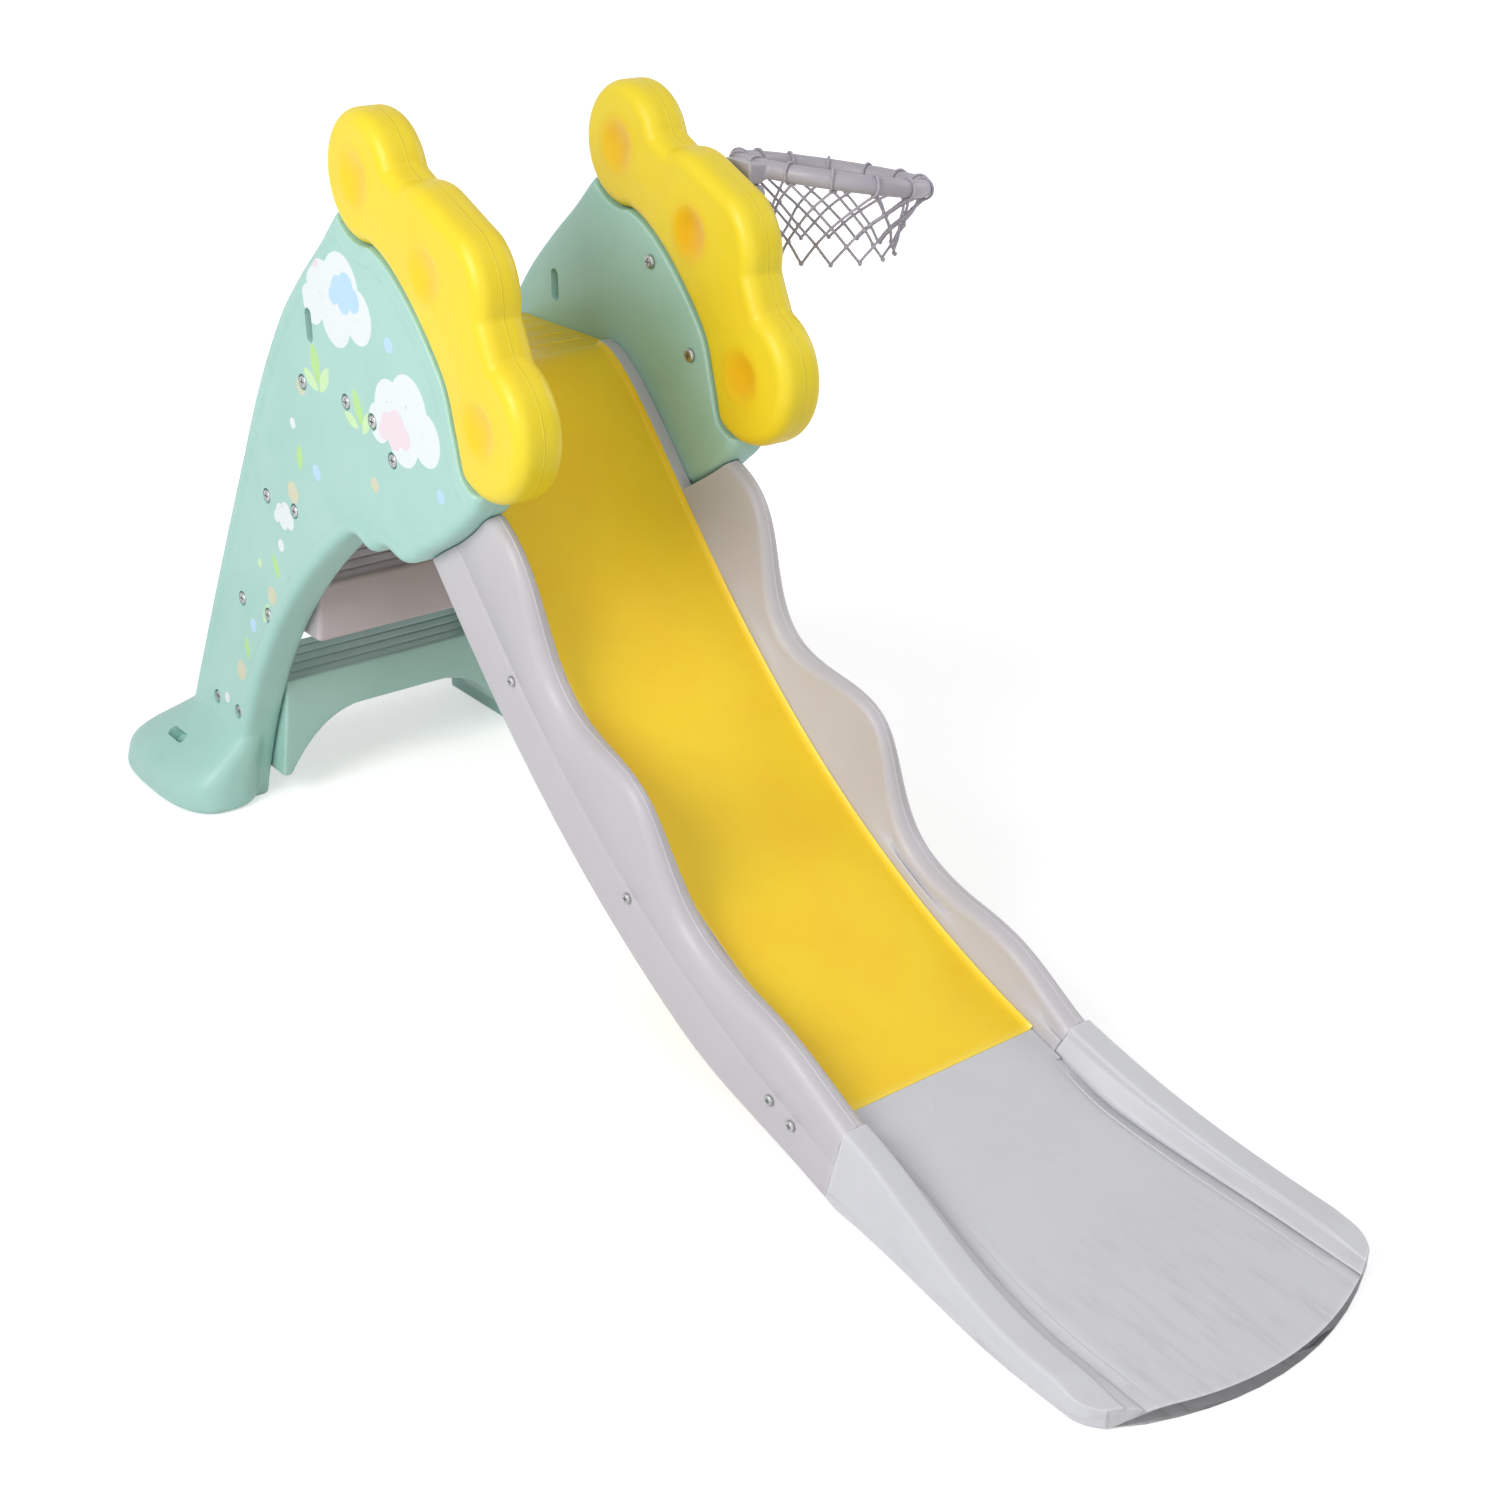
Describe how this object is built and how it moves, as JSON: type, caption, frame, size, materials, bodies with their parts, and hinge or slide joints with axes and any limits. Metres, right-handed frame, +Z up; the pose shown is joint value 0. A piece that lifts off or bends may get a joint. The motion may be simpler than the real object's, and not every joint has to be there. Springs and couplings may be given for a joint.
{
  "type": "toddler slide",
  "caption": "Free-standing plastic toddler slide with a stepped ladder, lobed hand guards, a wavy-railed chute and a plug-in ball hoop.",
  "frame": {"origin": "on the floor, in the middle of the run-out's flat underside", "axes": "+Z up, the chute runs down towards -Y and the ladder stands at +Y, +X is the side of the ball hoop"},
  "size_m": [0.7769, 1.829, 0.9453],
  "materials": {
    "yellow_plastic": "satin blow-moulded polyethylene",
    "mint_plastic": "satin blow-moulded polyethylene",
    "lilac_grey_plastic": "satin blow-moulded polyethylene",
    "pale_grey_plastic": "satin blow-moulded polyethylene",
    "net_cord": "soft white cord",
    "screw_steel": "plated"
  },
  "bodies": {
    "slide": {"chute_bed": "yellow_plastic", "guard_left": "yellow_plastic", "guard_right": "yellow_plastic", "deck": "yellow_plastic", "side_panel_left": "mint_plastic", "side_panel_right": "mint_plastic", "step_base": "mint_plastic", "chute_rail_left": "lilac_grey_plastic", "chute_rail_right": "lilac_grey_plastic", "step_upper": "lilac_grey_plastic", "step_middle": "lilac_grey_plastic", "hoop_socket": "lilac_grey_plastic", "run_out": "pale_grey_plastic", "guard_screw_left_1": "screw_steel", "guard_screw_left_2": "screw_steel", "guard_screw_right_1": "screw_steel", "guard_screw_right_2": "screw_steel", "deck_screw_left_1": "screw_steel", "deck_screw_left_2": "screw_steel", "deck_screw_right_1": "screw_steel", "deck_screw_right_2": "screw_steel", "step_upper_screw_left_1": "screw_steel", "step_upper_screw_left_2": "screw_steel", "step_upper_screw_right_1": "screw_steel", "step_upper_screw_right_2": "screw_steel", "step_middle_screw_left_1": "screw_steel", "step_middle_screw_left_2": "screw_steel", "step_middle_screw_right_1": "screw_steel", "step_middle_screw_right_2": "screw_steel", "step_base_screw_left_1": "screw_steel", "step_base_screw_left_2": "screw_steel", "step_base_screw_right_1": "screw_steel", "step_base_screw_right_2": "screw_steel", "chute_screw_left_1": "screw_steel", "chute_screw_left_2": "screw_steel", "chute_screw_right_1": "screw_steel", "chute_screw_right_2": "screw_steel", "rail_screw_left_1": "screw_steel", "rail_screw_left_2": "screw_steel", "rail_screw_left_3": "screw_steel", "rail_screw_left_4": "screw_steel", "rail_screw_right_1": "screw_steel", "rail_screw_right_2": "screw_steel", "rail_screw_right_3": "screw_steel", "rail_screw_right_4": "screw_steel", "socket_screw_1": "screw_steel", "socket_screw_2": "screw_steel"},
    "hoop": {"hoop_ring": "lilac_grey_plastic", "hoop_net": "net_cord"}
  },
  "joints": [
    {"name": "hoop_lift", "type": "slide", "parent": "slide", "child": "hoop", "axis": [0, 0, 1], "range_m": [0, 0.06]}
  ]
}
